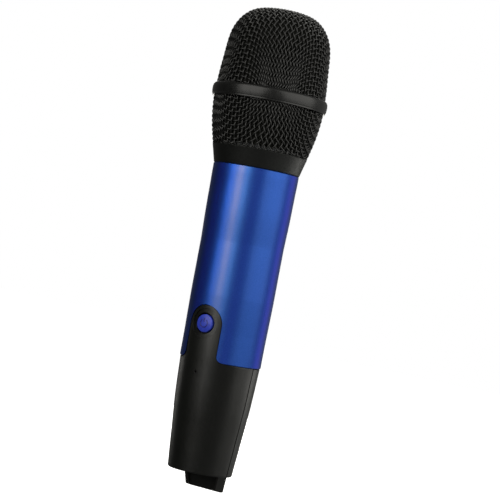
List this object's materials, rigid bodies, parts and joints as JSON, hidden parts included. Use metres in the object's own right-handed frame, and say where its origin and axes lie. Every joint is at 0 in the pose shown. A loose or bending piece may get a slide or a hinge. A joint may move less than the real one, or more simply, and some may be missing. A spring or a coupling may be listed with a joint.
{
  "type": "wireless karaoke microphone",
  "caption": "Handheld wireless microphone with a woven wire head, crimp band, metal barrel, front power button, sliding battery door and a short aerial stub.",
  "frame": {"origin": "on the microphone axis in the plane of the aerial stub's end face", "axes": "+Z along the microphone from the aerial stub to the wire head, -Y the way the power button faces, +Y the way the battery door faces, +X completes the right-handed frame"},
  "size_m": [0.056, 0.056, 0.2333],
  "materials": {
    "grille_wire": "satin black coated woven wire",
    "band_black": "satin black",
    "liner_steel": "plain steel strip",
    "foam": "open cell black foam",
    "collar_black": "matt black",
    "rubber_black": "matt",
    "thread_metal": "turned",
    "barrel_blue": "metallic blue lacquer",
    "black_plastic": "fine satin texture",
    "button_blue": "blue satin gloss",
    "clear_plastic": "clear",
    "white_plastic": "matt",
    "grey_plastic": "matt",
    "capsule_metal": "satin",
    "film": "thin polyester film",
    "copper": "enamelled copper",
    "magnet": "nickel plated",
    "soft_iron": "plated",
    "pcb_green": "solder mask",
    "tin": "tin plated",
    "ic_black": "moulded",
    "cap_sleeve": "sleeved",
    "cell_wrap": "plain grey wrap",
    "spring_steel": "nickel plated",
    "screw_steel": "zinc plated",
    "wire_black": "insulation"
  },
  "bodies": {
    "handle": {"aerial_coil": "copper", "audio_ic": "ic_black", "barrel": "barrel_blue", "battery_leads": "wire_black", "bridge_contact": "spring_steel", "capacitors": "cap_sleeve", "capsule_cap": "capsule_metal", "capsule_housing": "capsule_metal", "capsule_leads": "wire_black", "capsule_magnet": "magnet", "capsule_terminal_board": "pcb_green", "capsule_yoke": "soft_iron", "cell_left": "cell_wrap", "cell_right": "cell_wrap", "chassis": "grey_plastic", "coil_frame": "white_plastic", "crystal": "tin", "diaphragm": "film", "end_cap": "black_plastic", "light_pipe": "clear_plastic", "lower_shell": "black_plastic", "main_pcb": "pcb_green", "neck_insert": "thread_metal", "negative_contact": "spring_steel", "pcb_screws": "screw_steel", "pole_plate": "soft_iron", "positive_contact": "spring_steel", "rf_shield": "tin", "shell_screws": "screw_steel", "shock_mount": "rubber_black", "spring_left": "spring_steel", "spring_right": "spring_steel", "status_led": "white_plastic", "switch_body": "ic_black", "tail_cover": "black_plastic", "transmitter_ic": "ic_black", "voice_coil": "copper"},
    "head": {"upper_grille": "grille_wire", "lower_grille": "grille_wire", "grille_band": "band_black", "band_liner": "liner_steel", "upper_foam": "foam", "lower_foam": "foam", "head_collar": "collar_black", "grille_retainer": "grey_plastic"},
    "head_washer": {"head_washer": "rubber_black"},
    "power_button": {"power_button": "button_blue", "switch_plunger": "white_plastic"},
    "battery_door": {"battery_door": "black_plastic"}
  },
  "joints": [
    {"name": "head_rise", "type": "slide", "parent": "handle", "child": "head_washer", "axis": [0, 0, 1], "range_m": [0, 0.006]},
    {"name": "head_unscrew", "type": "hinge", "parent": "head_washer", "child": "head", "pos_m": [0, 0, 0.158], "axis": [0, 0, 1], "range_deg": [0, 1440]},
    {"name": "power_press", "type": "slide", "parent": "handle", "child": "power_button", "axis": [0, 1, 0], "range_m": [0, 0.0005], "stiffness_N_per_m": 60, "springref_m": -0.004},
    {"name": "door_slide", "type": "slide", "parent": "handle", "child": "battery_door", "axis": [0, 0, -1], "range_m": [0, 0.056], "stiffness_N_per_m": 12, "springref_m": -0.03}
  ],
  "couplings": [
    {"joint": "head_rise", "follows": "head_unscrew", "m_per_rad": 0.00023873}
  ]
}
